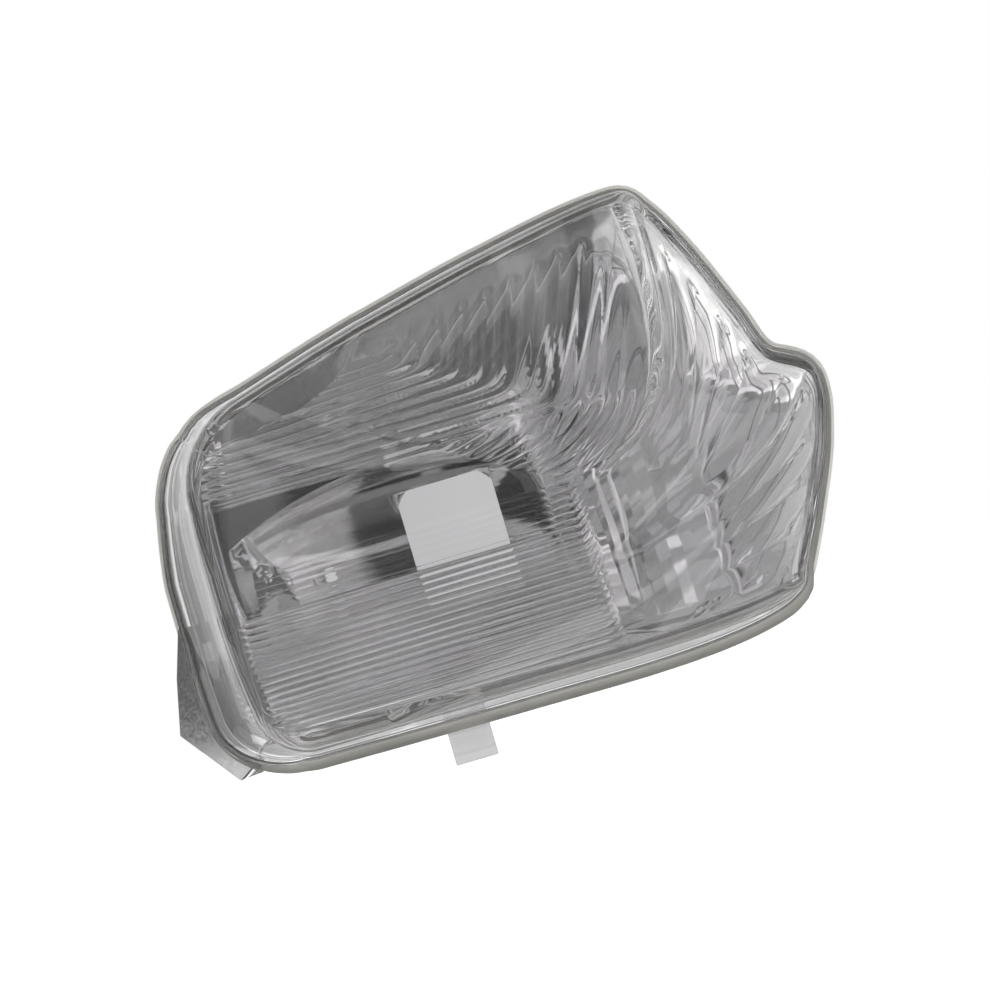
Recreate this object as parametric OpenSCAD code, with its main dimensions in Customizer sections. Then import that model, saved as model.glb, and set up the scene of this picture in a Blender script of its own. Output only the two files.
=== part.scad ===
// Door mirror indicator lamp for a large van: a smoked clear lens with inner
// flutes, welded to a metallised housing whose inside is the reflector.
// Frame: the origin is on the bulb axis, where the bulb holder seats in its
// socket. X points outboard, Z up, and Y back along the bulb axis.

/* [Lens outline] */
// Bulb axis to the inboard edge of the front face
inner_len = 47.2; // [44:0.2:54]
// Bulb axis to the tip of the nose, on the face's edge
nose_len = 77; // [72:0.2:84]
// Bulb axis to the lower edge of the front face
low_h = 32; // [29:0.2:36]
// Bulb axis to the top of the ridge
peak_h = 51; // [47:0.2:56]
// Bulb axis to the ridge between front face and side face
ridge_x = 48; // [44:0.2:52]
// Height where the inboard edge starts to turn into the upper edge
end_h = 17; // [14:0.2:20]
// Radius of the corner between them
corner_r = 17; // [14:0.5:20]
// Radius of the inboard lower corner
low_r = 7.5; // [6:0.5:9]
// Height of the notch over the nose
notch_h = 14.6; // [11:0.2:18]

/* [Lens depth] */
// Depth of the face over the flange at the inboard end
inner_depth = 26; // [20:0.5:32]
// Depth of the face where the flutes end
mid_depth = 37; // [32:0.5:42]
// How far the nose and the ridge stand out past that
nose_swell = 5; // [2:0.5:8]
// Crown of the face along its straight stretch
crown = 1.2; // [0:0.1:3]

/* [Lens wall] */
// Wall of the lens
lens_wall = 2.4; // [2:0.1:3]
// Radius of the edge round the front face, on three of its sides
edge_r = 2.6; // [2.4:0.1:4]
// Radius of that edge on the outboard side
edge_side = 1.4; // [1.2:0.1:2]
// Sideways draft of the inboard wall, per millimetre of depth
inner_draft = 0.37; // [0.2:0.01:0.45]
// Draft of the lower wall
low_draft = 0.1; // [0.05:0.01:0.2]
// Draft of the upper and outboard walls
top_draft = 0.03; // [0.01:0.01:0.1]

/* [Flutes] */
// Number of curved flutes over the upper face
curved_flutes = 10; // [8:1:12]
// Height of the crests between curved flutes
curved_rise = 0.35; // [0.2:0.05:0.8]
// Number of level flutes in the lower field
level_flutes = 22; // [12:1:22]
// Height of the crests between level flutes
level_rise = 0.3; // [0.1:0.05:0.4]
// Height where the field of level flutes starts
level_top = 1.4; // [-2:0.2:4]
// Bulb axis to the outboard end of the level flutes
level_end = 23.4; // [18:0.2:28]
// Plain margin between the flutes and the upper edge
plain_top = 5.5; // [3:0.5:8]
// Plain margin between the flutes and the inboard edge
plain_side = 2.5; // [1.5:0.5:5]
// Share of the flutes' height that is left in front of the bowl
bowl_share = 0.1; // [0:0.05:0.5]

/* [Flange] */
// Thickness of the lens flange
flange_t = 2.4; // [2:0.1:3.2]
// Width of the flange along the lower edge
flange_low = 2.6; // [2:0.1:4]
// Width of the flange along the other edges
flange_side = 1; // [0.8:0.1:2]
// Depth of the weld rib under the flange
rib_h = 2.2; // [1.5:0.1:3]
// Thickness of the weld rib
rib_t = 1.6; // [1.2:0.1:2]
// Clearance round the weld rib
rib_gap = 0.25; // [0.15:0.05:0.4]

/* [Locating tab] */
// Width of the tab
tab_w = 8.8; // [6:0.2:12]
// Reach of the tab below the flange
tab_len = 6; // [4:0.5:9]
// Bulb axis to the middle of the tab, inboard
tab_x = 8.8; // [4:0.2:14]

/* [Reflector panel] */
// Wall of the housing
shell_t = 2; // [1.6:0.1:2.6]
// Height of the reflector panel in front of the flange plane
panel_h = 8; // [5:0.5:12]
// Run of the bevel round the panel
bevel_w = 5.5; // [3:0.5:8]
// Bulb axis to the outboard end of the raised panel
panel_end = 46; // [42:0.5:50]
// Height of the panel's outboard upper corner
panel_peak = 42.5; // [38:0.5:46]
// Height where the outboard slope meets the raised panel
slope_top = 14; // [8:0.5:20]
// Drop of each step in the lower field
step_drop = 1.1; // [0.4:0.1:1.6]

/* [Bowl] */
// Bulb axis to the inboard end of the bowl
bowl_in = 44.5; // [38:0.5:45]
// Bulb axis to the outboard end of the bowl
bowl_out = 19.8; // [15:0.2:21]
// Bulb axis to the floor of the bowl
bowl_floor = 6.6; // [5:0.2:9]
// Radius of the bowl's section at its middle
bowl_r = 24.7; // [20:0.1:25]
// Radius of the arch along the bowl
bowl_arch = 92; // [70:1:140]
// Distance of the bowl's own axis in front of the flange plane
bowl_axis = 18; // [15:0.5:20]
// Radius of the two small holes in the bowl
hole_r = 1.2; // [0.8:0.1:1.6]
// Half width of the bulb window
window_w = 9.75; // [8:0.25:11]
// Height of the window over the bulb axis
window_top = 9.2; // [7:0.2:11]

/* [Bulb socket] */
// Radius of the socket bore
socket_r = 12.5; // [11.5:0.1:13.5]
// Wall of the socket collar
socket_wall = 2.5; // [2:0.1:4]
// Rear end of the socket, behind the flange plane
socket_end = 18; // [14:0.5:24]
// Width of a bayonet notch
notch_w = 5; // [3:0.2:7]

/* [Rim and fixings] */
// Thickness of the housing rim
rim_t = 3.6; // [3.2:0.1:5]
// How far the rim shows past the lens flange
rim_lip = 0.7; // [0.2:0.1:1.5]
// Radius of the pilot hole in a screw post
pilot_r = 1.7; // [1.2:0.1:2.2]
// Wall of a screw post
post_wall = 2.3; // [1.6:0.1:3]
// Rear end of the screw posts, behind the flange plane
post_end = 14; // [10:0.5:18]
// Depth of the pilot holes
pilot_depth = 12; // [8:0.5:14]
// Width of a snap hook
hook_w = 8; // [5:0.5:12]
// Length of a snap hook, from the rim
hook_len = 11; // [8:0.5:14]
// Thickness of a snap hook
hook_t = 1.8; // [1.4:0.1:2.4]
// How far a snap hook stands over the edge of the rear opening
hook_over = 0.7; // [0.3:0.1:1]
// Reach of the corner ear past the inboard edge of the rim
ear_w = 5; // [3:0.5:8]

/* [Hidden] */

fill_rows = 4;
rows_curved = 4;
rows_level = 3;
cols_flat = 8;
cols_bend = 15;
side_group = 2;
right_depth = flange_t + edge_side + 1.4;
// Middle of the socket's round wall, where the bulb holder seats
bore_start = bowl_r + shell_t - bowl_axis + 0.3;
seat_y = (bore_start + socket_end) / 2;
// The window's corners stay inside the bore, so the bore's wall ends flat
window_r = socket_r - 0.7;

// Stations of the loft, counted in flutes from the inboard upper corner. Each
// holds the count, then the bend and the end of that row as [x, depth, z].
u_low = curved_flutes + level_flutes;
function u_at(f) = curved_flutes + f * level_flutes;
stations = [
    [0, [-11, inner_depth + 4, 33.5], [-7, inner_depth + 3, peak_h - 10]],
    [curved_flutes / 2, [ridge_x - 30, mid_depth - 2, 21],
        [ridge_x - 27.5, mid_depth - 5, peak_h - 4]],
    [curved_flutes, [ridge_x + 3, mid_depth + nose_swell - 1, 5],
        [ridge_x - 0.5, mid_depth - 2, peak_h]],
    [u_at(0.11), [ridge_x + 7, mid_depth + 2, 6],
        [ridge_x + 5, 13, peak_h - 2.5]],
    [u_at(0.25), [ridge_x + 9, mid_depth, 5],
        [ridge_x + 11, right_depth, peak_h - 12.5]],
    [u_at(0.39), [ridge_x + 12, mid_depth - 2, 3],
        [nose_len - 12, right_depth, notch_h + 9.6]],
    [u_at(0.5), [ridge_x + 14, mid_depth - 1, 0],
        [nose_len - 8.2, right_depth, notch_h]],
    [u_at(0.61), [nose_len - 11, mid_depth + nose_swell, -4],
        [nose_len - 0.5, right_depth, notch_h - 6]],
    [u_at(0.72), [nose_len - 11, mid_depth + nose_swell, -10],
        [nose_len - 2, right_depth, -2]],
    [u_at(0.86), [nose_len - 15, mid_depth + 3, -19],
        [nose_len - 7.5, right_depth, -15]],
    [u_low, [ridge_x + 4, mid_depth - 3, -low_h],
        [ridge_x + 14, 16, 3 - low_h]]
];
last = len(stations) - 1;

// Smooth value of column c of the stations at count u, by Hermite pieces
function seg(u, i = 0) = i >= last - 1 || u < stations[i + 1][0] ? i : seg(u, i + 1);
function slope(i, c) = let(a = max(i - 1, 0), b = min(i + 1, last))
    (stations[b][c] - stations[a][c]) / (stations[b][0] - stations[a][0]);
function guide(u, c) = let(
        i = seg(u),
        d = stations[i + 1][0] - stations[i][0],
        f = min(max((u - stations[i][0]) / d, 0), 1),
        f2 = f * f,
        f3 = f2 * f)
    stations[i][c] * (2 * f3 - 3 * f2 + 1) + slope(i, c) * d * (f3 - 2 * f2 + f)
        + stations[i + 1][c] * (3 * f2 - 2 * f3) + slope(i + 1, c) * d * (f3 - f2);

function mix(a, b, f) = a + (b - a) * f;

// Where a row starts on the inboard edge: the first rows on the corner's arc
corner_rows = curved_flutes - 2;
corner_start = 142;
function lean(z) = pow(max(abs(z) - 4, 0) / 20, 2) * 1.4;
function on_corner(a) = [-inner_len + lean(end_h) + corner_r * (1 + cos(a)), end_h + corner_r * sin(a)];
function start_at(u) = let(
        z = u < curved_flutes
            ? mix(end_h, level_top, (u - corner_rows) / (curved_flutes - corner_rows))
            : mix(level_top, -low_h, (u - curved_flutes) / level_flutes),
        turn = max(0, low_r - 0.1 - low_h - z),
        arc = on_corner(mix(corner_start, 180, u / corner_rows)),
        depth = inner_depth + 0.02 * (u + 1))
    u < corner_rows ? [arc[0], depth, arc[1]]
        : [-inner_len + lean(z) + low_r - sqrt(low_r * low_r - turn * turn), depth, z];

// Where a row leaves its straight stretch and begins to bend
function bend_at(u) = u < curved_flutes
    ? let(f = u / curved_flutes)
        [mix(-24, level_end, f), mix(inner_depth + 2.5, mid_depth, f) + 3 * f * (1 - f),
            mix(30, level_top + 0.6, f)]
    : let(f = (u - curved_flutes) / level_flutes)
        [level_end, mid_depth + 1.2 * sin(180 * f) - 3 * f * f,
            mix(level_top + 0.6, -low_h, f)];

// The four points that shape a row: start, bend, knee and end
function row_at(u) = [start_at(u), bend_at(u), guide(u, 1), guide(u, 2)];

// Point of the outer skin on a row: f runs 0 to 1 over its straight stretch
// and 1 to 2 round its bend
function skin(r, f) = let(
        g = f - 1,
        h = 1 - g,
        h0 = 1 - f,
        c1 = mix(r[1], r[2], 0.7),
        c2 = mix(r[3], r[2], 0.7),
        p = f <= 1 ? mix(r[0], r[1], f) + [0, crown * 6.75 * f * h0 * h0, 0]
            : r[1] * h * h * h + c1 * 3 * h * h * g + c2 * 3 * h * g * g + r[3] * g * g * g)
    [p[0], -p[1], p[2]];

// Places of the columns along a row, with the plain margins at both ends
function columns(r) = let(
        first = plain_side / norm(r[1] - r[0]),
        step = 1 / norm(r[2] - r[1]),
        rim = min(0.4, plain_top / (2.1 * norm(r[3] - r[2]))))
    [0, for (j = [0 : cols_flat - 2]) mix(first, 1, j / (cols_flat - 2)),
        for (j = [0 : cols_bend - 3]) mix(1 + step, 2 - rim, j / (cols_bend - 3)),
        2 - 0.85 * rim, 2];

rows = [for (i = [0 : fill_rows - 1]) -1 + i / fill_rows,
    for (i = [0 : curved_flutes * rows_curved - 1]) i / rows_curved,
    for (i = [0 : level_flutes * rows_level]) curved_flutes + i / rows_level];
nr = len(rows) - 1;
guides = [for (u = rows) row_at(max(u, 0))];
places = [for (r = guides) columns(r)];
nc = len(places[0]) - 1;

// The smooth field over the first flute runs up to the upper edge: the rest of
// the corner's arc, then a straight line to the first row's end
top_tilt = 16.9;
top_start = 128;
top_end = [-16, peak_h - 12.4];
function upper_edge(t) = t < 0.25 ? on_corner(mix(top_start, 90 + top_tilt, t / 0.25))
    : mix(on_corner(90 + top_tilt), top_end, (t - 0.25) / 0.75);
function point_at(i, f) = let(e = upper_edge(f / 2))
    rows[i] >= 0 ? skin(guides[i], f)
    : mix(skin(guides[i], f), [e[0], -inner_depth - 0.4 - 1.3 * f, e[1]], -rows[i]);
outer = [for (i = [0 : nr]) [for (f = places[i]) point_at(i, f)]];

function unit(v) = v / max(norm(v), 0.000001);
function normal(i, j) = unit(cross(
    outer[i][min(j + 1, nc)] - outer[i][max(j - 1, 0)],
    outer[min(i + 1, nr)][j] - outer[max(i - 1, 0)][j]));

// Height of the inner skin over the floor of the flutes: hollows between crests
function hollow(f) = let(g = f - floor(f)) 1 - 4 * g * (1 - g);
// In front of the bowl the flutes are nearly flat
bowl_first = curved_flutes - 2;
bowl_last = curved_flutes + level_flutes * (level_top + bowl_floor) / (level_top + low_h);
function share(u, j) = j > cols_flat - 2 ? 1
    : u > bowl_first && u < bowl_last ? bowl_share : mix(0.35, 1, j / cols_flat);
function rise(u, j) = j == 0 || j >= nc - 1 ? 0
    : u < 0 ? 0
    : u < curved_flutes ? curved_rise * hollow(u) * share(u, j)
    : j <= cols_flat - 1 ? level_rise * hollow(u) * share(u, j)
    : let(g = (j - cols_flat) / cols_bend)
        curved_rise * hollow((u - curved_flutes) / side_group) * min(max((g - 0.25) / 0.2, 0), 1);
// Where the upper edge's rows meet end on, their wall follows the first row's
function wall_row(i, j) = j > nc - 6 ? max(i, fill_rows) : i;
inner = [for (i = [0 : nr]) [for (j = [0 : nc])
    outer[i][j] + normal(wall_row(i, j), j) * (lens_wall + rise(rows[i], j))]];

// Round the edge of the face: inboard end, lower edge, outboard end, corner
border = [for (i = [0 : nr - 1]) [i, 0], for (j = [0 : nc - 1]) [nr, j],
    for (i = [nr : -1 : 1]) [i, nc], for (j = [nc : -1 : 1]) [0, j]];
nb = len(border);
function rim(k) = outer[border[k][0]][border[k][1]];
function side(k) = let(d = unit(rim((k + 2) % nb) - rim(k)) + unit(rim(k) - rim((k + nb - 2) % nb)))
    unit([-d[2], 0, d[0]]);
outward = [for (k = [0 : nb - 1]) -side(k)];
function sq(v) = v * v;
function draft(n, z) = inner_draft * sq(min(n[0], 0)) * (1 - 0.3 * min(max((z - 4) / 18, 0), 1)
        + 0.15 * min(max((-z - 8) / 16, 0), 1))
    + low_draft * sq(min(n[2], 0)) + top_draft * (sq(max(n[0], 0)) + sq(max(n[2], 0)));
function flange_w(n) = flange_side + (flange_low - flange_side) * sq(min(n[2], 0));
// Point of the wall under rim point k: out from the rim line, at depth y
function at(k, out, y) = [rim(k)[0], 0, rim(k)[2]] + outward[k] * out - [0, y, 0];
function edge(k) = mix(edge_r, edge_side, sq(max(outward[k][0], 0)));
function wall_out(k, y) = edge(k) + draft(outward[k], rim(k)[2]) * max(0, -rim(k)[1] - edge(k) - y);
function edge_ring(a) = [for (k = [0 : nb - 1])
    at(k, edge(k) * sin(a), -rim(k)[1] - edge(k) * (1 - cos(a)))];
function wall_ring(y, out = 0) = [for (k = [0 : nb - 1]) at(k, wall_out(k, max(y, 0)) + out, y)];
function flange_ring(y) = [for (k = [0 : nb - 1])
    at(k, wall_out(k, flange_t) + flange_w(outward[k]), y)];

// The outer skin keeps every second row, so its rings keep every second point
// along both ends
keep = [for (k = [0 : nb - 1]) let(b = border[k])
    if (b[0] == 0 || b[0] == nr || b[0] % 2 == 0) k];
nk = len(keep);
function kept(ring) = [for (k = keep) ring[k]];

coarse_rows = [for (i = [0 : nr]) if (i == nr || i % 2 == 0) i];
outer_rings = [kept(edge_ring(30)), kept(edge_ring(60)), kept(edge_ring(90)),
    kept(wall_ring(flange_t)), kept(flange_ring(flange_t)), kept(flange_ring(0)),
    kept(wall_ring(0, -rib_gap)), kept(wall_ring(-rib_h, -rib_gap))];
inner_rings = [wall_ring(-rib_h, -rib_gap - rib_t), wall_ring(0, -lens_wall),
    [for (k = [0 : nb - 1]) mix(wall_ring(0, -lens_wall)[k], inner[border[k][0]][border[k][1]], 0.5)]];

module lens_shell() {
    no = len(coarse_rows) * (nc + 1);
    ni = (nr + 1) * (nc + 1);
    r0 = no + ni;
    r1 = r0 + len(outer_rings) * nk;
    points = concat([for (i = coarse_rows) for (p = outer[i]) p], [for (r = inner) for (p = r) p],
        [for (r = outer_rings) for (p = r) p], [for (r = inner_rings) for (p = r) p]);
    function o(i, j) = ceil(i / 2) * (nc + 1) + j;
    function n(i, j) = no + i * (nc + 1) + j;
    function ring_o(q, k) = q < 0 ? o(border[keep[k % nk]][0], border[keep[k % nk]][1])
        : r0 + q * nk + k % nk;
    function ring_i(q, k) = q >= len(inner_rings) ? n(border[k % nb][0], border[k % nb][1])
        : r1 + q * nb + k % nb;
    function quad(a, b, c, d) = [[a, b, c], [a, c, d]];
    lq = len(outer_rings) - 1;
    faces = [
        for (i = [0 : 2 : nr - 1]) let(next = min(i + 2, nr)) for (j = [0 : nc - 1])
            each quad(o(i, j), o(i, j + 1), o(next, j + 1), o(next, j)),
        for (i = [0 : nr - 1]) for (j = [0 : nc - 1])
            each quad(n(i, j), n(i + 1, j), n(i + 1, j + 1), n(i, j + 1)),
        for (q = [-1 : lq - 1]) for (k = [0 : nk - 1])
            each quad(ring_o(q, k), ring_o(q, k + 1), ring_o(q + 1, k + 1), ring_o(q + 1, k)),
        for (q = [0 : len(inner_rings) - 1]) for (k = [0 : nb - 1])
            each quad(ring_i(q, k), ring_i(q, k + 1), ring_i(q + 1, k + 1), ring_i(q + 1, k)),
        for (k = [0 : nk - 1]) let(a = keep[k], b = k == nk - 1 ? nb : keep[k + 1])
            each [for (m = [a : b - 1]) [ring_o(lq, k), ring_i(0, m + 1), ring_i(0, m)],
                [ring_o(lq, k), ring_o(lq, k + 1), ring_i(0, b)]]
    ];
    polyhedron(points, faces, convexity = 6);
}

// Tab that locates the lamp in the mirror arm, on the lower flange
module locating_tab() {
    root = low_h + edge_r + low_draft * (mid_depth - edge_r - flange_t);
    chamfer = 1.2;
    tip = -root - flange_low - tab_len;
    slab(-flange_t + 0.2, -0.2) polygon([
        [-tab_x - tab_w / 2, -root], [-tab_x - tab_w / 2, tip],
        [-tab_x + tab_w / 2 - chamfer, tip], [-tab_x + tab_w / 2, tip + chamfer], [-tab_x + tab_w / 2, -root]]);
}

// Both pieces are drawn from the flange plane and moved to the frame's origin
module lens() {
    color([0.5, 0.5, 0.52, 0.6]) translate([0, -seat_y, 0]) union() {
        lens_shell();
        locating_tab();
    }
}

// Slab between two depths, with its outline drawn in X and Z
module slab(y0, y1) {
    translate([0, y1, 0]) rotate([90, 0, 0]) linear_extrude(y1 - y0) children();
}

// Box between two corners
module block(a, b) {
    translate(a) cube(b - a);
}

// Outline of the lens foot, moved outward by out
function foot(out) = [for (k = [0 : nb - 1]) let(p = at(k, wall_out(k, 0) + out, 0)) [p[0], p[2]]];
// Outline of the lens flange, moved outward by out, less along the lower edge
function flange_outline(out, low_share = 1) = [for (k = [0 : nb - 1]) let(
        grown = out * (outward[k][2] > -0.5 ? 1 : low_share),
        p = at(k, wall_out(k, flange_t) + flange_w(outward[k]) + grown, 0))
    [p[0], p[2]]];

// Corner of a rounded outline as points of its arc, from angle a0 to a1
arc_parts = 6;
function arc(c, r, a0, a1) = [for (i = [0 : arc_parts]) let(a = mix(a0, a1, i / arc_parts))
    [c[0] + r * cos(a), c[1] + r * sin(a)]];

// Outline of the raised panel, grown by g
panel_low = low_h - 3.5;
panel_in = bowl_in + 3;
panel_corner = end_h + 5;
tilt = atan2(panel_peak - panel_corner, panel_end + panel_in);
function panel(g) = concat(
    arc([-panel_in + 4, -panel_low + 4], 4 + g, 180, 270),
    arc([panel_end - 6, -panel_low + 6], 6 + g, 270, 360),
    arc([panel_end - 6, panel_peak - 7], 6 + g, 0, 90 + tilt),
    arc([-panel_in + 9, panel_corner - 9], 9 + g, 90 + tilt, 180));
// By how much the rear opening's outline is grown
opening_g = bevel_w - shell_t;
// Height of that outline's upper edge at x
function panel_top(g, x) = let(p = panel(g)[3 * arc_parts + 2], q = panel(g)[3 * arc_parts + 3])
    mix(p[1], q[1], (x - p[0]) / (q[0] - p[0]));

module panel_solid(inset) {
    hull() {
        slab(-0.02, 0) polygon(panel(bevel_w - inset));
        slab(-panel_h + inset, -panel_h + inset + 0.02) polygon(panel(-inset));
    }
}

// Solid of revolution round the bowl's own axis, grown by g
module bowl_round(g) {
    mid = (bowl_out - bowl_in) / 2 + 4;
    translate([0, -bowl_axis, -bowl_floor]) rotate([0, 90, 0]) rotate_extrude($fn = 96)
        intersection() {
            translate([0, -bowl_in - g]) square([bowl_r + g, bowl_in + bowl_out + 2 * g]);
            translate([bowl_r - bowl_arch, mid]) circle(r = bowl_arch + g, $fn = 180);
        }
}

bowl_reach = bowl_in + bowl_out;
module bowl_space() {
    intersection() {
        bowl_round(0);
        block([-bowl_reach, -panel_h - 1, -bowl_floor], bowl_reach * [1, 1, 1]);
    }
}

module bowl_shell() {
    intersection() {
        bowl_round(shell_t);
        block([-bowl_reach, -panel_h, -bowl_floor - shell_t], bowl_reach * [1, 1, 1]);
    }
}

// Level steps of the lower field, as a strip of even thickness
slope_start = level_end + 0.6;
step_z = [-bowl_floor, -10.2, -18.4, -27.2, -panel_low - 1];
module steps(t) {
    for (i = [0 : 3])
        block([1 - panel_in, -panel_h + i * step_drop, step_z[i + 1]],
            [slope_start, -panel_h + i * step_drop + t, step_z[i] + (i == 0 ? 0 : step_drop)]);
    for (x = [1 - panel_in - t / 2, slope_start - t / 2])
        block([x, -panel_h, step_z[4]], [x + t, -panel_h + 3 * step_drop + t, step_z[0]]);
}

// Outboard slope: a curved sheet from the raised panel down to the rim
slope_end = panel_end + bevel_w + 4;
function slope_y(f) = mix(-panel_h, 0.4, f) + 1.6 * sin(180 * f);
slope_parts = 12;
function slope_points(dy) = [for (i = [0 : slope_parts]) let(f = i / slope_parts)
    [mix(slope_start, slope_end, f), slope_y(f) + dy]];
function slope_back(dy) = [for (i = [slope_parts : -1 : 0]) slope_points(dy)[i]];
module slope_sheet(t) {
    translate([0, 0, -panel_low - t / 2]) linear_extrude(slope_top + panel_low + t)
        polygon(concat(slope_points(0), slope_back(t)));
    // Wall that closes the slope against the raised panel
    translate([0, 0, slope_top]) linear_extrude(t)
        polygon(concat([[slope_start - t, -panel_h], [panel_end, -panel_h], [panel_end + bevel_w, 0]],
            slope_back(t), [[slope_start - t, -panel_h + t]]));
}

// Pad at the bowl's inboard end, in front of a screw post, with a blind hole
pad_x = 6.3 - bowl_in;
pad_z = 4.6 - bowl_floor;
pad_depth = 5;
module bowl_pad() {
    slab(-pad_depth, shell_t) polygon([[pad_x - 3.8, -bowl_floor], [pad_x - 3, pad_z + 4.4],
        [pad_x - 1, pad_z + 5.4], [pad_x + 1.6, pad_z + 4], [pad_x + 4.4, -bowl_floor]]);
}
module bowl_holes() {
    slab(-pad_depth - 1, -1) translate([pad_x, pad_z]) circle(r = hole_r, $fn = 32);
    slab(-bowl_axis, bowl_r) translate([pad_x + 11.6, pad_z - 1]) circle(r = hole_r, $fn = 32);
}

// Screw posts as [x, z, depth at which the post starts inside the panel]
posts = [[pad_x, pad_z, 0.5],
    [ridge_x - 16, peak_h - 24, shell_t / 2 - panel_h]];
module post(p) {
    translate([p[0], post_end, p[1]]) rotate([90, 0, 0])
        cylinder(r = pilot_r + post_wall, h = post_end - p[2], $fn = 48);
}
module pilot(p) {
    translate([p[0], post_end + 1, p[1]]) rotate([90, 0, 0])
        cylinder(r = pilot_r, h = pilot_depth + 1, $fn = 48);
}

// Rib behind the panel, from the socket collar out to the panel's edge
rib_reach = panel_end + panel_in;
module rib(angle, y0) {
    intersection() {
        rotate([0, -angle, 0]) block([socket_r, y0, -0.4 * shell_t], [rib_reach, 0, 0.4 * shell_t]);
        panel_solid(shell_t / 2);
    }
}

// Snap hook at the edge of the rear opening; its barb faces inwards
module snap_hook(x, z, angle) {
    translate([x, 0, z]) rotate([0, -angle, 0]) translate([0, rim_t - 1, 0]) rotate([90, 0, 90])
        translate([0, 0, -hook_w / 2]) linear_extrude(hook_w) polygon([
            [-2, 0], [-2, hook_t], [hook_len, hook_t], [hook_len, 0],
            [hook_len - 3, -1.4], [hook_len - 3.6, 0]]);
}

// Collar of the bulb socket, with a lip at its rear end
module collar() {
    translate([0, socket_end, 0]) rotate([90, 0, 0]) {
        cylinder(r = socket_r + socket_wall, h = socket_end + 4, $fn = 120);
        cylinder(r = socket_r + socket_wall + 2, h = 3, $fn = 120);
    }
}
module socket_bore() {
    translate([0, socket_end + 1, 0]) rotate([90, 0, 0])
        cylinder(r = socket_r, h = socket_end + 1 - bore_start, $fn = 120);
    for (a = [90, 210, 330]) rotate([0, -a, 0])
        block([socket_r - 2, socket_end - 5, -notch_w / 2],
            [socket_r + socket_wall * 0.7, socket_end + 1, notch_w / 2]);
}
module bulb_window() {
    intersection() {
        block([-window_w, -panel_h, -bowl_floor], [window_w, bore_start + 1, window_top]);
        union() {
            bowl_round(shell_t / 2);
            translate([0, bore_start + 2, 0]) rotate([90, 0, 0])
                cylinder(r = window_r, h = bore_start + 6, $fn = 120);
        }
    }
}

// Rim plate with its ear, the groove for the weld rib and the rear opening
module rim_plate() {
    ear_x = -inner_len - edge_r - inner_draft * (inner_depth - edge_r) - flange_side;
    difference() {
        union() {
            slab(0, rim_t) polygon(flange_outline(rim_lip, 0));
            difference() {
                slab(-flange_t, rim_t) polygon([[ear_x + 2, 0], [ear_x - ear_w / 2, 18 - low_h],
                    [ear_x - ear_w, 7 - low_h], [ear_x + 4, -low_h - 5], [ear_x + 16, -low_h - 4]]);
                slab(-flange_t - 1, 0) polygon(flange_outline(rib_gap));
            }
        }
        slab(-1, rib_h + rib_gap) difference() {
            polygon(foot(0));
            polygon(foot(-rib_gap - lens_wall));
        }
        slab(-1, rim_t + 1) polygon(panel(opening_g));
    }
}

module reflector_panel() {
    difference() {
        panel_solid(0);
        panel_solid(shell_t);
        block([1 - panel_in, -panel_h - 1, step_z[4]], [slope_start, -0.5, -bowl_floor - shell_t]);
        block([slope_start, -panel_h - 1, -panel_low], [slope_end, 1, slope_top]);
        bowl_space();
    }
    difference() {
        bowl_shell();
        bowl_space();
    }
    steps(shell_t);
    slope_sheet(shell_t);
}

module housing() {
    color([0.85, 0.85, 0.86]) translate([0, -seat_y, 0]) difference() {
        union() {
            rim_plate();
            reflector_panel();
            difference() {
                union() {
                    collar();
                    rib(150, shell_t / 2 - panel_h);
                    rib(40, shell_t / 2 - panel_h);
                    rib(220, 3.6 * step_drop - panel_h);
                }
                bowl_round(shell_t / 4);
            }
            bowl_pad();
            for (p = posts) post(p);
            snap_hook(0, panel_top(opening_g, 0) - hook_over, tilt);
            snap_hook(panel_end + opening_g - hook_over, -6, -90);
        }
        socket_bore();
        bulb_window();
        bowl_holes();
        for (p = posts) pilot(p);
    }
}

lens();
housing();
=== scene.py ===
from math import cos, floor, radians, sin, sqrt

import bpy
from mathutils import Matrix, Vector


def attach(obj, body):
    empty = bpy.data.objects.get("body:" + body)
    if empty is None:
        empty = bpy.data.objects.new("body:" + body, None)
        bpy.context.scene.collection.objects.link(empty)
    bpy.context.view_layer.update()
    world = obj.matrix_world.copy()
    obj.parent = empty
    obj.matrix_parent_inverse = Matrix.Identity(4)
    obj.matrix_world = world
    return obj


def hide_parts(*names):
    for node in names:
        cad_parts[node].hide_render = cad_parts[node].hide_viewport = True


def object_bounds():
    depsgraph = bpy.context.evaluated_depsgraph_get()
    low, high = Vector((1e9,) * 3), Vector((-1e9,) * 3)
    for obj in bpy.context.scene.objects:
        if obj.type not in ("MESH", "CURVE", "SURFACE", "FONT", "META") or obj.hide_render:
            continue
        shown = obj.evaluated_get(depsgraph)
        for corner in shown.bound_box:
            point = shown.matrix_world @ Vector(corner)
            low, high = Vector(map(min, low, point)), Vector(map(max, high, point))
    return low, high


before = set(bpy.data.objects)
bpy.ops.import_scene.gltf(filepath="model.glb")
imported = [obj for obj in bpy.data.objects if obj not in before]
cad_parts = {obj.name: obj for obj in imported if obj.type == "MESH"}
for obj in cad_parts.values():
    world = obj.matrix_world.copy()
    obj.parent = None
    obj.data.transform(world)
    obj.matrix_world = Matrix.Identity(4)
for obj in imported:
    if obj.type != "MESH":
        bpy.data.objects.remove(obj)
cad_low, cad_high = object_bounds()
MM = 0.001

# The photograph: the point it is centred on, the width it takes in there, and
# the angle by which the lamp is turned in it
VIEW_CENTRE = Vector((9.4 * MM, -13.5 * MM, 3.4 * MM))
VIEW_WIDTH = 198 * MM
VIEW_TURN = 16.4
VIEW_DISTANCE = 1.3
SENSOR = 36

FLOOR_DROP = 60 * MM
FLOOR_SIZE = 6
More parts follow.
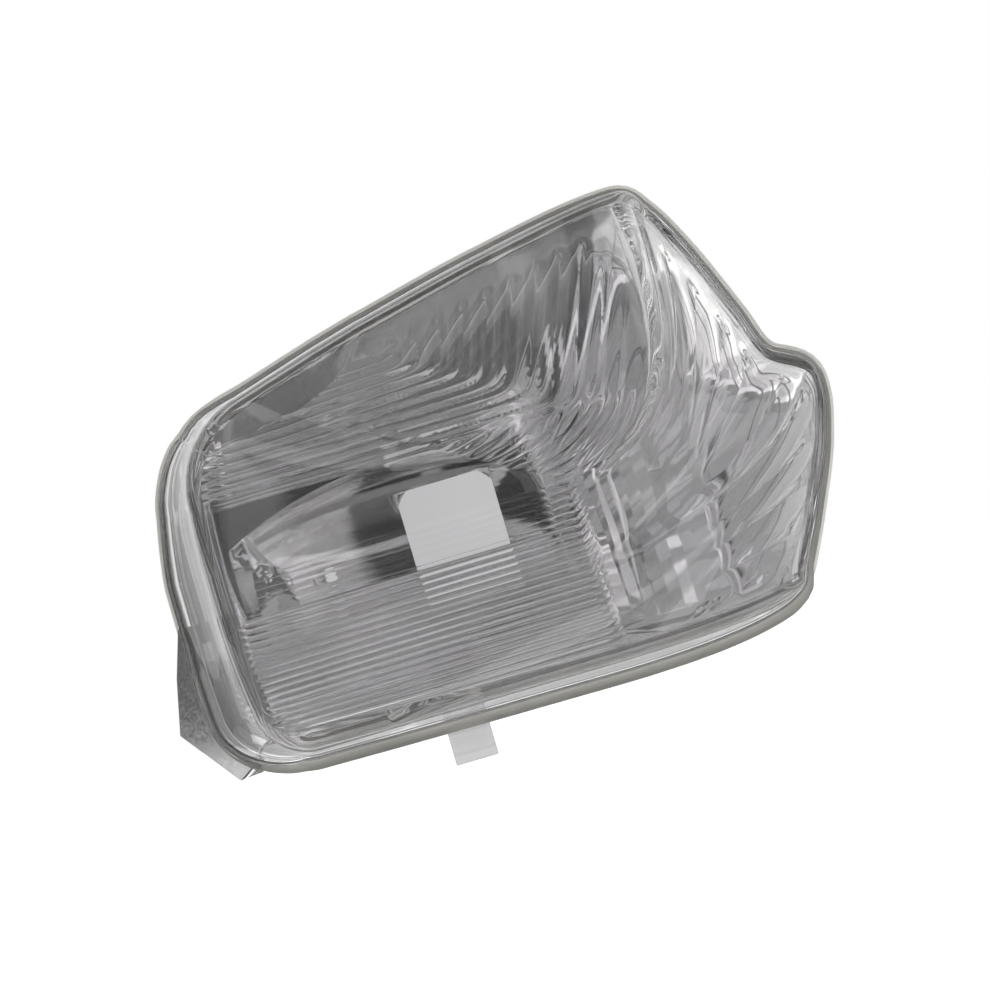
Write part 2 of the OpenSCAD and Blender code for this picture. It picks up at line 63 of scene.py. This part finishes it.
# What the floor adds to its own light where it is seen, so that it is about as
# white as the room, and where it is seen through glass
FLOOR_GLOW, GLOW_IN_GLASS = 0.66, 0.1

scene = bpy.context.scene
scene.view_settings.view_transform = "Standard"
# Light is led a long way inside the lens wall before it comes out
scene.cycles.max_bounces = 32
scene.cycles.glossy_bounces = 24
scene.cycles.transmission_bounces = 32


def make_camera():
    camera = bpy.data.cameras.new("studio_camera")
    camera.sensor_width = SENSOR
    camera.lens = SENSOR * VIEW_DISTANCE / VIEW_WIDTH
    camera.clip_end = 50
    holder = bpy.data.objects.new("studio_camera", camera)
    holder.location = VIEW_CENTRE - Vector((0, VIEW_DISTANCE, 0))
    level = Matrix.Rotation(radians(90), 4, "X")
    turn = Matrix.Rotation(radians(-VIEW_TURN), 4, "Z")
    holder.rotation_euler = (level @ turn).to_euler()
    scene.collection.objects.link(holder)
    scene.camera = holder


make_camera()

# Materials


def new_material(name):
    material = bpy.data.materials.new(name)
    material.use_nodes = True
    return material, material.node_tree.nodes, material.node_tree.links


# Noise lies mostly between these two values
NOISE_LOW, NOISE_HIGH = 0.3, 0.7
# Share of the fine grain in the height of a moulding's skin
GRAIN_SHARE = 0.06
ACRYLIC_IOR = 1.49
SMOKED_TINTS = (0.565, 0.56, 0.57), (0.61, 0.60, 0.61)
FLANGE_TINTS = (0.88, 0.88, 0.87), (0.93, 0.93, 0.92)
METAL_TINTS = (0.80, 0.80, 0.79), (0.87, 0.87, 0.87)
BARE_TINTS = (0.76, 0.75, 0.70), (0.84, 0.83, 0.78)
FLOOR_TINTS = (0.83, 0.83, 0.83), (0.86, 0.86, 0.86)


def make_moulded_surface():
    """Node group: how a moulding's skin varies, as a slow wave, a fine grain and their height."""
    group = bpy.data.node_groups.new("moulded_surface", "ShaderNodeTree")
    face = group.interface
    wave_size = face.new_socket("Wave Scale", in_out="INPUT", socket_type="NodeSocketFloat")
    grain_size = face.new_socket("Grain Scale", in_out="INPUT", socket_type="NodeSocketFloat")
    wave_size.default_value = 60
    grain_size.default_value = 900
    for output in ("Wave", "Grain", "Height"):
        face.new_socket(output, in_out="OUTPUT", socket_type="NodeSocketFloat")
    nodes, links = group.nodes, group.links
    given = nodes.new("NodeGroupInput")
    result = nodes.new("NodeGroupOutput")
    place = nodes.new("ShaderNodeTexCoord")
    wave = nodes.new("ShaderNodeTexNoise")
    grain = nodes.new("ShaderNodeTexNoise")
    wave.inputs["Detail"].default_value = 1
    grain.inputs["Detail"].default_value = 3
    for noise, scale in ((wave, "Wave Scale"), (grain, "Grain Scale")):
        links.new(place.outputs["Object"], noise.inputs["Vector"])
        links.new(given.outputs[scale], noise.inputs["Scale"])
    height = nodes.new("ShaderNodeMath")
    height.operation = "MULTIPLY_ADD"
    height.inputs[1].default_value = GRAIN_SHARE
    links.new(grain.outputs["Fac"], height.inputs[0])
    links.new(wave.outputs["Fac"], height.inputs[2])
    links.new(wave.outputs["Fac"], result.inputs["Wave"])
    links.new(grain.outputs["Fac"], result.inputs["Grain"])
    links.new(height.outputs[0], result.inputs["Height"])
    return group


moulded_surface = make_moulded_surface()


def spread(nodes, links, source, low, high, target):
    """Brings a noise value into a range and feeds a socket with it."""
    span = nodes.new("ShaderNodeMapRange")
    span.inputs["From Min"].default_value = NOISE_LOW
    span.inputs["From Max"].default_value = NOISE_HIGH
    span.inputs["To Min"].default_value = low
    span.inputs["To Max"].default_value = high
    links.new(source, span.inputs["Value"])
    links.new(span.outputs["Result"], target)


def tint(nodes, links, source, tints, target):
    """Runs a colour from the first to the second of two tints with a noise value."""
    ramp = nodes.new("ShaderNodeValToRGB")
    for stop, place, colour in zip(ramp.color_ramp.elements, (NOISE_LOW, NOISE_HIGH), tints):
        stop.position = place
        stop.color = (*colour, 1)
    links.new(source, ramp.inputs["Fac"])
    links.new(ramp.outputs["Color"], target)


def make_skin(nodes, links, wave_scale, grain_scale, bump_strength, bump_depth):
    """Places the moulded surface group and wires its height to the shader's normal."""
    skin = nodes.new("ShaderNodeGroup")
    skin.node_tree = moulded_surface
    skin.inputs["Wave Scale"].default_value = wave_scale
    skin.inputs["Grain Scale"].default_value = grain_scale
    bump = nodes.new("ShaderNodeBump")
    bump.inputs["Strength"].default_value = bump_strength
    bump.inputs["Distance"].default_value = bump_depth
    links.new(skin.outputs["Height"], bump.inputs["Height"])
    links.new(bump.outputs["Normal"], nodes["Principled BSDF"].inputs["Normal"])
    return skin


def make_acrylic(name, tints):
    material, nodes, links = new_material(name)
    shader = nodes["Principled BSDF"]
    shader.inputs["Transmission Weight"].default_value = 1
    shader.inputs["IOR"].default_value = ACRYLIC_IOR
    skin = make_skin(nodes, links, 45, 1200, 0.05, 0.05 * MM)
    tint(nodes, links, skin.outputs["Wave"], tints, shader.inputs["Base Color"])
    spread(nodes, links, skin.outputs["Grain"], 0.01, 0.03, shader.inputs["Roughness"])
    return material


def make_metallised_plastic():
    material, nodes, links = new_material("metallised_plastic")
    shader = nodes["Principled BSDF"]
    shader.inputs["Metallic"].default_value = 1
    skin = make_skin(nodes, links, 50, 1600, 0.05, 0.1 * MM)
    tint(nodes, links, skin.outputs["Wave"], METAL_TINTS, shader.inputs["Base Color"])
    spread(nodes, links, skin.outputs["Grain"], 0.04, 0.08, shader.inputs["Roughness"])
    return material


def make_bare_plastic():
    material, nodes, links = new_material("bare_plastic")
    shader = nodes["Principled BSDF"]
    skin = make_skin(nodes, links, 60, 1400, 0.2, 0.1 * MM)
    tint(nodes, links, skin.outputs["Wave"], BARE_TINTS, shader.inputs["Base Color"])
    spread(nodes, links, skin.outputs["Grain"], 0.35, 0.5, shader.inputs["Roughness"])
    return material


def make_white_floor():
    material, nodes, links = new_material("white_floor")
    shader = nodes["Principled BSDF"]
    shader.inputs["Roughness"].default_value = 0.9
    shader.inputs["Emission Color"].default_value = (1, 1, 1, 1)
    paper = nodes.new("ShaderNodeTexNoise")
    place = nodes.new("ShaderNodeTexCoord")
    paper.inputs["Scale"].default_value = 300
    links.new(place.outputs["Object"], paper.inputs["Vector"])
    tint(nodes, links, paper.outputs["Fac"], FLOOR_TINTS, shader.inputs["Base Color"])
    path = nodes.new("ShaderNodeLightPath")
    through = nodes.new("ShaderNodeMath")
    through.operation = "MULTIPLY"
    through.inputs[1].default_value = GLOW_IN_GLASS
    glow = nodes.new("ShaderNodeMath")
    glow.operation = "MULTIPLY_ADD"
    glow.inputs[1].default_value = FLOOR_GLOW
    links.new(path.outputs["Is Transmission Ray"], through.inputs[0])
    links.new(path.outputs["Is Camera Ray"], glow.inputs[0])
    links.new(through.outputs[0], glow.inputs[2])
    links.new(glow.outputs[0], shader.inputs["Emission Strength"])
    return material


# The lens. Its sizes are in millimetres and named as in the part's source. It
# is the same loft, with more rows and columns and with rounded edges.
INNER_LEN, NOSE_LEN, LOW_H, PEAK_H, RIDGE_X = 47.2, 77, 32, 51, 48
END_H, CORNER_R, LOW_R, NOTCH_H = 17, 17, 7.5, 14.6
INNER_DEPTH, MID_DEPTH, NOSE_SWELL, CROWN = 26, 37, 5, 1.2
LENS_WALL, EDGE_R, EDGE_SIDE = 2.4, 2.6, 1.4
INNER_DRAFT, LOW_DRAFT, TOP_DRAFT = 0.37, 0.1, 0.03
CURVED_FLUTES, CURVED_RISE = 10, 0.35
LEVEL_FLUTES, LEVEL_RISE, LEVEL_TOP, LEVEL_END = 22, 0.3, 1.4, 23.4
PLAIN_TOP, PLAIN_SIDE, BOWL_SHARE = 5.5, 2.5, 0.1
FLANGE_T, FLANGE_LOW, FLANGE_SIDE = 2.4, 2.6, 1
RIB_H, RIB_T, RIB_GAP = 2.2, 1.6, 0.25
TAB_W, TAB_LEN, TAB_X = 8.8, 6, 8.8
BOWL_FLOOR = 6.6
SEAT_Y = 13.5
# Air between the flange and the housing's rim, so that light finds its way out there
SEAT_FILM = 0.03
SIDE_GROUP = 2
SWEEP_TOP, SWEEP_PITCH, SWEEP_HALVINGS = 36, 2.2, 18
RIGHT_DEPTH = FLANGE_T + EDGE_SIDE + 1.4
CORNER_ROWS, CORNER_START = CURVED_FLUTES - 2, 142
TOP_TILT, TOP_START, TOP_END = 16.9, 128, (-16, PEAK_H - 12.4)

FILL_ROWS, ROWS_CURVED, ROWS_LEVEL = 12, 18, 8
COLS_FLAT, COLS_BEND = 44, 58
EDGE_STEPS = 9


def mix(a, b, f):
    return a + (b - a) * f


def clamp(f):
    return min(max(f, 0), 1)


def u_at(f):
    return CURVED_FLUTES + f * LEVEL_FLUTES


# Stations of the loft: the count of flutes, then the bend and the end of that
# row as (x, depth, z)
STATIONS = [(u, Vector(knee), Vector(end)) for u, knee, end in (
    (0, (-11, INNER_DEPTH + 4, 33.5), (-7, INNER_DEPTH + 3, PEAK_H - 10)),
    (CURVED_FLUTES / 2, (RIDGE_X - 30, MID_DEPTH - 2, 21),
     (RIDGE_X - 27.5, MID_DEPTH - 5, PEAK_H - 4)),
    (CURVED_FLUTES, (RIDGE_X + 3, MID_DEPTH + NOSE_SWELL - 1, 5),
     (RIDGE_X - 0.5, MID_DEPTH - 2, PEAK_H)),
    (u_at(0.11), (RIDGE_X + 7, MID_DEPTH + 2, 6), (RIDGE_X + 5, 13, PEAK_H - 2.5)),
    (u_at(0.25), (RIDGE_X + 9, MID_DEPTH, 5), (RIDGE_X + 11, RIGHT_DEPTH, PEAK_H - 12.5)),
    (u_at(0.39), (RIDGE_X + 12, MID_DEPTH - 2, 3), (NOSE_LEN - 12, RIGHT_DEPTH, NOTCH_H + 9.6)),
    (u_at(0.5), (RIDGE_X + 14, MID_DEPTH - 1, 0), (NOSE_LEN - 8.2, RIGHT_DEPTH, NOTCH_H)),
    (u_at(0.61), (NOSE_LEN - 11, MID_DEPTH + NOSE_SWELL, -4),
     (NOSE_LEN - 0.5, RIGHT_DEPTH, NOTCH_H - 6)),
    (u_at(0.72), (NOSE_LEN - 11, MID_DEPTH + NOSE_SWELL, -10), (NOSE_LEN - 2, RIGHT_DEPTH, -2)),
    (u_at(0.86), (NOSE_LEN - 15, MID_DEPTH + 3, -19), (NOSE_LEN - 7.5, RIGHT_DEPTH, -15)),
    (u_at(1), (RIDGE_X + 4, MID_DEPTH - 3, -LOW_H), (RIDGE_X + 14, 16, 3 - LOW_H)))]
LAST = len(STATIONS) - 1


def slope(i, column):
    a, b = max(i - 1, 0), min(i + 1, LAST)
    return (STATIONS[b][column] - STATIONS[a][column]) / (STATIONS[b][0] - STATIONS[a][0])


def guide(u, column):
    """Smooth value of a column of the stations at count u, by Hermite pieces."""
    i = max(k for k in range(LAST) if k == 0 or u >= STATIONS[k][0])
    span = STATIONS[i + 1][0] - STATIONS[i][0]
    f = clamp((u - STATIONS[i][0]) / span)
    f2, f3 = f * f, f * f * f
    return (STATIONS[i][column] * (2 * f3 - 3 * f2 + 1)
            + slope(i, column) * span * (f3 - 2 * f2 + f)
            + STATIONS[i + 1][column] * (3 * f2 - 2 * f3)
            + slope(i + 1, column) * span * (f3 - f2))


def lean(z):
    """How far the inboard edge falls back at height z."""
    return (max(abs(z) - 4, 0) / 20) ** 2 * 1.4


def on_corner(angle):
    a = radians(angle)
    return (-INNER_LEN + lean(END_H) + CORNER_R * (1 + cos(a)), END_H + CORNER_R * sin(a))


def start_at(u):
    """Where a row starts on the inboard edge: the first rows on the corner's arc."""
    depth = INNER_DEPTH + 0.02 * (u + 1)
    if u < CORNER_ROWS:
        x, z = on_corner(mix(CORNER_START, 180, u / CORNER_ROWS))
        return Vector((x, depth, z))
    if u < CURVED_FLUTES:
        z = mix(END_H, LEVEL_TOP, (u - CORNER_ROWS) / (CURVED_FLUTES - CORNER_ROWS))
    else:
        z = mix(LEVEL_TOP, -LOW_H, (u - CURVED_FLUTES) / LEVEL_FLUTES)
    turn = max(0, LOW_R - 0.1 - LOW_H - z)
    return Vector((-INNER_LEN + lean(z) + LOW_R - sqrt(LOW_R * LOW_R - turn * turn), depth, z))


def bend_at(u):
    """Where a row leaves its straight stretch and begins to bend."""
    if u < CURVED_FLUTES:
        f = u / CURVED_FLUTES
        depth = mix(INNER_DEPTH + 2.5, MID_DEPTH, f) + 3 * f * (1 - f)
        return Vector((mix(-24, LEVEL_END, f), depth, mix(30, LEVEL_TOP + 0.6, f)))
    f = (u - CURVED_FLUTES) / LEVEL_FLUTES
    return Vector((LEVEL_END, MID_DEPTH + 1.2 * sin(radians(180 * f)) - 3 * f * f,
                   mix(LEVEL_TOP + 0.6, -LOW_H, f)))


def row_at(u):
    return start_at(u), bend_at(u), guide(u, 1), guide(u, 2)


def skin_point(row, f):
    """Point of the outer skin: f runs 0 to 1 over a row's straight stretch, then to 2."""
    start, bend, knee, end = row
    if f <= 1:
        p = mix(start, bend, f) + Vector((0, CROWN * 6.75 * f * (1 - f) ** 2, 0))
    else:
        g, h = f - 1, 2 - f
        p = (bend * h ** 3 + mix(bend, knee, 0.7) * 3 * h * h * g
             + mix(end, knee, 0.7) * 3 * h * g * g + end * g ** 3)
    return Vector((p.x, -p.y, p.z))


def upper_edge(t):
    """Corner's arc, then a straight line to the first row's end."""
    arc_end = on_corner(90 + TOP_TILT)
    if t < 0.25:
        return on_corner(mix(TOP_START, 90 + TOP_TILT, t / 0.25))
    f = (t - 0.25) / 0.75
    return mix(arc_end[0], TOP_END[0], f), mix(arc_end[1], TOP_END[1], f)


def margins(row):
    """Plain margins of a row: its first stretch, the step at the bend, its last stretch."""
    start, bend, knee, end = row
    return (PLAIN_SIDE / (bend - start).length, 1 / (knee - bend).length,
            min(0.4, PLAIN_TOP / (2.1 * (end - knee).length)))


def places_along(row):
    """Where a row's columns lie, as f of skin_point."""
    first, step, last = margins(row)
    flat = COLS_FLAT - 2
    bend = COLS_BEND - 3
    return ([0] + [mix(first, 1, j / flat) for j in range(flat + 1)]
            + [mix(1 + step, 2 - last, j / bend) for j in range(bend + 1)]
            + [2 - 0.85 * last, 2 - 0.4 * last, 2])


def hollow(f):
    """Profile of a flute: 1 on the crests, at whole counts, and 0 halfway between them."""
    g = f - floor(f)
    return 1 - 4 * g * (1 - g)


def sweep_count(x, z):
    """Count of the curved flute at a point of the upper face: level, then swept up to the edge."""
    level = (SWEEP_TOP - z) / SWEEP_PITCH
    low, high = -0.6, 24
    for halving in range(SWEEP_HALVINGS):
        n = (low + high) / 2
        bend = (mix(-5, 25, n / 8), SWEEP_TOP - SWEEP_PITCH * n)
        end = (5.4 * n - 7, 39 + 1.35 * n)
        if (end[0] - bend[0]) * (z - bend[1]) - (end[1] - bend[1]) * (x - bend[0]) < 0:
            low = n
        else:
            high = n
    swept = (low + high) / 2
    gap = swept - level
    return (level + swept + sqrt(gap * gap + 0.6)) / 2


def flute_rise(u, f, row, p):
    """Height of the inner skin over the floor of the flutes."""
    first, step, last = margins(row)
    if u < 0:
        return 0
    run_out = clamp(f / first) * clamp((2 - 0.85 * last - f) / (0.15 * last))
    bowl_last = CURVED_FLUTES + LEVEL_FLUTES * (LEVEL_TOP + BOWL_FLOOR) / (LEVEL_TOP + LOW_H)
    in_sweep = clamp((p.z - 15.5) / 2) * clamp((46 - p.x) / 6)
    sweep = CURVED_RISE * hollow(sweep_count(p.x, p.z)) * in_sweep
    if u < CURVED_FLUTES and f <= 1:
        return sweep * run_out
    if f <= 1:
        share = 1 if u > bowl_last else mix(BOWL_SHARE, 1, clamp((f - 0.9) / 0.06))
        return max(LEVEL_RISE * hollow(u) * share, sweep) * run_out
    if u < CURVED_FLUTES:
        diagonal = CURVED_RISE * hollow(2 * u) * clamp((17 - p.z) / 3) * clamp((u - 4) / 2)
        return max(diagonal, sweep) * run_out
    bend = (f - 1 - step) / (1 - last - step) * 0.8
    side = CURVED_RISE * hollow((u - CURVED_FLUTES) / SIDE_GROUP) * clamp((bend - 0.25) / 0.2)
    level = LEVEL_RISE * hollow(u) * clamp(1 - (f - 1) / step)
    return max(side, level) * run_out


def loft_grids():
    """Grids of points for the outer and the inner skin, in millimetres from the flange plane."""
    counts = ([-1 + i / FILL_ROWS for i in range(FILL_ROWS)]
              + [i / ROWS_CURVED for i in range(CURVED_FLUTES * ROWS_CURVED)]
              + [CURVED_FLUTES + i / ROWS_LEVEL for i in range(LEVEL_FLUTES * ROWS_LEVEL + 1)])
    rows = [row_at(max(u, 0)) for u in counts]
    places = [places_along(row) for row in rows]
    outer = []
    for u, row, along in zip(counts, rows, places):
        line = [skin_point(row, f) for f in along]
        if u < 0:
            for j, f in enumerate(along):
                x, z = upper_edge(f / 2)
                line[j] = mix(line[j], Vector((x, -INNER_DEPTH - 0.4 - 1.3 * f, z)), -u)
        outer.append(line)
    nr, nc = len(outer) - 1, len(outer[0]) - 1
    inner = []
    for i in range(nr + 1):
        line = []
        for j in range(nc + 1):
            k = max(i, FILL_ROWS) if j > nc - 20 else i
            across = outer[k][min(j + 1, nc)] - outer[k][max(j - 1, 0)]
            down = outer[min(k + 1, nr)][j] - outer[max(k - 1, 0)][j]
            inward = across.cross(down).normalized()
            rise = flute_rise(counts[i], places[i][j], rows[i], outer[i][j])
            line.append(outer[i][j] + inward * (LENS_WALL + rise))
        inner.append(line)
    return outer, inner


# Outline of the wall's foot in X and Z, inside which the housing is metallised
lens_foot = []


def make_lens_shell():
    """The lens without its tab: both skins, joined by rings down the wall and round the flange."""
    outer, inner = loft_grids()
    nr, nc = len(outer) - 1, len(outer[0]) - 1
    border = ([(i, 0) for i in range(nr)] + [(nr, j) for j in range(nc)]
              + [(i, nc) for i in range(nr, 0, -1)] + [(0, j) for j in range(nc, 0, -1)])
    nb = len(border)
    rim = [outer[i][j] for i, j in border]
    reach = 4
    outward = []
    for k in range(nb):
        ahead = (rim[(k + reach) % nb] - rim[k]).normalized()
        along = ahead + (rim[k] - rim[k - reach]).normalized()
        outward.append(Vector((along.z, 0, -along.x)).normalized())

    def edge_radius(k):
        return mix(EDGE_R, EDGE_SIDE, max(outward[k].x, 0) ** 2)

    def draft(k):
        n, z = outward[k], rim[k].z
        left = 1 - 0.3 * clamp((z - 4) / 18) + 0.15 * clamp((-z - 8) / 16)
        return (INNER_DRAFT * min(n.x, 0) ** 2 * left + LOW_DRAFT * min(n.z, 0) ** 2
                + TOP_DRAFT * (max(n.x, 0) ** 2 + max(n.z, 0) ** 2))

    def wall_out(k, depth):
        return edge_radius(k) + draft(k) * max(0, -rim[k].y - edge_radius(k) - max(depth, 0))

    def ring(out, depth):
        return [Vector((rim[k].x, -depth(k), rim[k].z)) + outward[k] * out(k) for k in range(nb)]

    def wall_ring(depth, out=0):
        return ring(lambda k: wall_out(k, depth) + out, lambda k: depth)

    def flange_ring(depth, out=0):
        return ring(lambda k: wall_out(k, FLANGE_T) + out
                    + FLANGE_SIDE + (FLANGE_LOW - FLANGE_SIDE) * min(outward[k].z, 0) ** 2,
                    lambda k: depth)

    rings = []
    for step in range(1, EDGE_STEPS + 1):
        a = radians(90 * step / EDGE_STEPS)
        rings.append(ring(lambda k: edge_radius(k) * sin(a),
                          lambda k: -rim[k].y - edge_radius(k) * (1 - cos(a))))
    rings += [wall_ring(FLANGE_T + 0.45), wall_ring(FLANGE_T + 0.12, 0.12),
              wall_ring(FLANGE_T, 0.45), flange_ring(FLANGE_T, -0.35),
              flange_ring(FLANGE_T - 0.1, -0.1), flange_ring(FLANGE_T - 0.35),
              flange_ring(0.2), flange_ring(SEAT_FILM, -0.2),
              wall_ring(SEAT_FILM, -RIB_GAP), wall_ring(-RIB_H, -RIB_GAP),
              wall_ring(-RIB_H, -RIB_GAP - RIB_T), wall_ring(SEAT_FILM, -LENS_WALL)]
    foot = rings[-1]
    lens_foot.extend((p.x * MM, p.z * MM) for p in wall_ring(0, -RIB_GAP))
    rings.append([mix(foot[k], inner[i][j], 0.5) for k, (i, j) in enumerate(border)])

    points = [p for row in outer for p in row] + [p for row in inner for p in row]
    points += [p for one in rings for p in one]
    inner_start = (nr + 1) * (nc + 1)
    ring_start = 2 * inner_start

    def border_point(k, start):
        i, j = border[k % nb]
        return start + i * (nc + 1) + j

    def ring_point(q, k):
        if q < 0:
            return border_point(k, 0)
        if q >= len(rings):
            return border_point(k, inner_start)
        return ring_start + q * nb + k % nb

    faces = []
    for start in (0, inner_start):
        for i in range(nr):
            for j in range(nc):
                a = start + i * (nc + 1) + j
                quad = (a, a + 1, a + nc + 2, a + nc + 1)
                faces.append(quad if start == 0 else quad[::-1])
    for q in range(-1, len(rings)):
        for k in range(nb):
            faces.append((ring_point(q, k), ring_point(q + 1, k),
                          ring_point(q + 1, k + 1), ring_point(q, k + 1)))
    mesh = bpy.data.meshes.new("smoked_lens_skin")
    mesh.from_pydata([(p - Vector((0, SEAT_Y, 0))) * MM for p in points], [], faces)
    piece = bpy.data.objects.new("smoked_lens_skin", mesh)
    scene.collection.objects.link(piece)
    return piece


def deselect_all():
    bpy.ops.object.select_all(action="DESELECT")


def make_active(piece):
    deselect_all()
    piece.select_set(True)
    bpy.context.view_layer.objects.active = piece


def make_locating_tab():
    """The tab under the lower flange, with softened edges."""
    root = LOW_H + EDGE_R + LOW_DRAFT * (MID_DEPTH - EDGE_R - FLANGE_T)
    tip = root + FLANGE_LOW + TAB_LEN
    deselect_all()
    bpy.ops.mesh.primitive_cube_add(size=1)
    tab = bpy.context.active_object
    tab.name = "locating_tab"
    tab.scale = (TAB_W * MM, (FLANGE_T - 0.4) * MM, (tip - root) * MM)
    tab.location = (-TAB_X * MM, (-FLANGE_T / 2 - SEAT_Y) * MM, -(tip + root) / 2 * MM)
    bpy.ops.object.transform_apply(location=True, rotation=False, scale=True)
    bevel = tab.modifiers.new("soft_edges", "BEVEL")
    bevel.width = 0.25 * MM
    bevel.segments = 3
    bpy.ops.object.modifier_apply(modifier=bevel.name)
    return tab


def make_lens():
    piece = make_lens_shell()
    tab = make_locating_tab()
    make_active(piece)
    bpy.ops.object.mode_set(mode="EDIT")
    bpy.ops.mesh.select_all(action="SELECT")
    bpy.ops.mesh.normals_make_consistent(inside=False)
    bpy.ops.object.mode_set(mode="OBJECT")
    weld = piece.modifiers.new("weld_tab", "BOOLEAN")
    weld.operation = "UNION"
    weld.solver = "EXACT"
    weld.object = tab
    bpy.ops.object.modifier_apply(modifier=weld.name)
    bpy.data.objects.remove(tab)
    for vertex in piece.data.vertices:
        vertex.co = [min(max(at, low), high) for at, low, high in zip(vertex.co, cad_low, cad_high)]
    bpy.ops.object.shade_smooth_by_angle(angle=radians(20))
    piece.data.materials.clear()
    piece.data.materials.append(make_acrylic("smoked_face", SMOKED_TINTS))
    piece.data.materials.append(make_acrylic("clear_flange", FLANGE_TINTS))
    for face in piece.data.polygons:
        x, y, z = face.center
        on_flange = y > -(FLANGE_T + SEAT_Y + 0.05) * MM and z > cad_low[2] + TAB_LEN * MM
        face.material_index = 1 if on_flange else 0
    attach(piece, "root")
    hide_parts("lens")


def inside_foot(x, z):
    """Whether a point lies within the foot of the lens's wall."""
    inside = False
    for (ax, az), (bx, bz) in zip(lens_foot, lens_foot[1:] + lens_foot[:1]):
        if (az > z) != (bz > z) and x < ax + (z - az) / (bz - az) * (bx - ax):
            inside = not inside
    return inside


def dress_housing():
    """A smoothly shaded copy of the housing, which stands for it with its form kept."""
    deselect_all()
    piece = bpy.data.objects.new("metallised_housing_skin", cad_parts["housing"].data.copy())
    piece.data.name = piece.name
    scene.collection.objects.link(piece)
    make_active(piece)
    bpy.ops.object.mode_set(mode="EDIT")
    bpy.ops.mesh.select_all(action="SELECT")
    bpy.ops.mesh.remove_doubles(threshold=0.002 * MM)
    bpy.ops.object.mode_set(mode="OBJECT")
    bpy.ops.object.shade_smooth_by_angle(angle=radians(24))
    piece.data.materials.clear()
    piece.data.materials.append(make_metallised_plastic())
    piece.data.materials.append(make_bare_plastic())
    flange_plane = -(SEAT_Y + 0.1) * MM
    for face in piece.data.polygons:
        x, y, z = face.center
        hidden = face.normal.y > 0.1 or not inside_foot(x, z)
        face.material_index = 1 if y > flange_plane and hidden else 0
    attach(piece, "root")
    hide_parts("housing")


def make_floor():
    deselect_all()
    bpy.ops.mesh.primitive_plane_add(size=FLOOR_SIZE,
                                     location=(0, 0, cad_low[2] - FLOOR_DROP))
    floor_piece = bpy.context.active_object
    floor_piece.name = "studio_floor"
    floor_piece.data.materials.append(make_white_floor())


make_lens()
dress_housing()
make_floor()

# Light


def grey_ramp(nodes, links, source, levels):
    """Grey that follows one axis of the direction: levels are pairs of axis value and grey."""
    span = nodes.new("ShaderNodeMapRange")
    span.inputs["From Min"].default_value = -1
    links.new(source, span.inputs["Value"])
    ramp = nodes.new("ShaderNodeValToRGB")
    stops = ramp.color_ramp.elements
    while len(stops) < len(levels):
        stops.new(0.5)
    for stop, (value, level) in zip(stops, levels):
        stop.position = (value + 1) / 2
        stop.color = (level, level, level, 1)
    links.new(span.outputs["Result"], ramp.inputs["Fac"])
    return ramp.outputs["Color"]


def blend(nodes, links, kind, factor, first, second):
    mixed = nodes.new("ShaderNodeMix")
    mixed.data_type = "RGBA"
    mixed.blend_type = kind
    sockets = mixed.inputs["Factor"], mixed.inputs[6], mixed.inputs[7]
    for socket, given in zip(sockets, (factor, first, second)):
        if hasattr(given, "links"):
            links.new(given, socket)
        else:
            socket.default_value = given
    return mixed.outputs[2]


# Grey of the room along X, Z and Y of the direction from the lamp
SIDE_PANELS = ((-1, 0.15), (-0.55, 0.1), (-0.5, 1.2), (-0.4, 1.2), (-0.35, 0.12),
               (0.15, 0.14), (0.25, 1.2), (0.55, 1.2), (0.65, 0.35), (1, 0.9))
TOP_PANEL = ((-1, 0.2), (-0.6, 0.1), (-0.55, 0), (0.2, 0), (0.23, 1.2), (0.35, 1.2),
             (0.4, 0.05), (0.7, 0.05), (1, 0.4))
REAR_WALL = ((0, 0), (0.35, 1))
ROOM_WHITE = (0.95, 0.95, 0.95, 1)


def make_studio_room():
    """White room behind the lamp; on the camera's side it is dim, with three light panels."""
    world = bpy.data.worlds.new("studio_room")
    scene.world = world
    world.use_nodes = True
    nodes, links = world.node_tree.nodes, world.node_tree.links
    backdrop = nodes["Background"]
    place = nodes.new("ShaderNodeTexCoord")
    axes = nodes.new("ShaderNodeSeparateXYZ")
    links.new(place.outputs["Generated"], axes.inputs["Vector"])
    across = grey_ramp(nodes, links, axes.outputs["X"], SIDE_PANELS)
    upward = grey_ramp(nodes, links, axes.outputs["Z"], TOP_PANEL)
    behind = grey_ramp(nodes, links, axes.outputs["Y"], REAR_WALL)
    path = nodes.new("ShaderNodeLightPath")
    front = blend(nodes, links, "ADD", 1, across, upward)
    room = blend(nodes, links, "MIX", behind, front, ROOM_WHITE)
    seen = blend(nodes, links, "MIX", path.outputs["Is Camera Ray"], room, (1, 1, 1, 1))
    links.new(seen, backdrop.inputs["Color"])
    backdrop.inputs["Strength"].default_value = 1


def make_softbox(name, place, aim, width, height, power):
    light = bpy.data.lights.new(name, "AREA")
    light.shape = "RECTANGLE"
    light.size = width
    light.size_y = height
    light.energy = power
    box = bpy.data.objects.new(name, light)
    box.location = place
    box.rotation_euler = (Vector(aim) - Vector(place)).to_track_quat("-Z", "Y").to_euler()
    scene.collection.objects.link(box)


make_studio_room()
# The softbox and the two strips that bring out the level flutes stand out of the picture
make_softbox("outboard_softbox", (0.9, -0.5, 0.6), (0, 0, 0), 0.8, 0.8, 1.8)
make_softbox("low_strip", (-0.01, -0.19, -0.1), (-0.01, -0.03, -0.02), 0.4, 0.025, 0.045)
make_softbox("near_strip", (-0.01, -0.11, -0.1), (-0.01, -0.03, -0.02), 0.3, 0.015, 0.02)
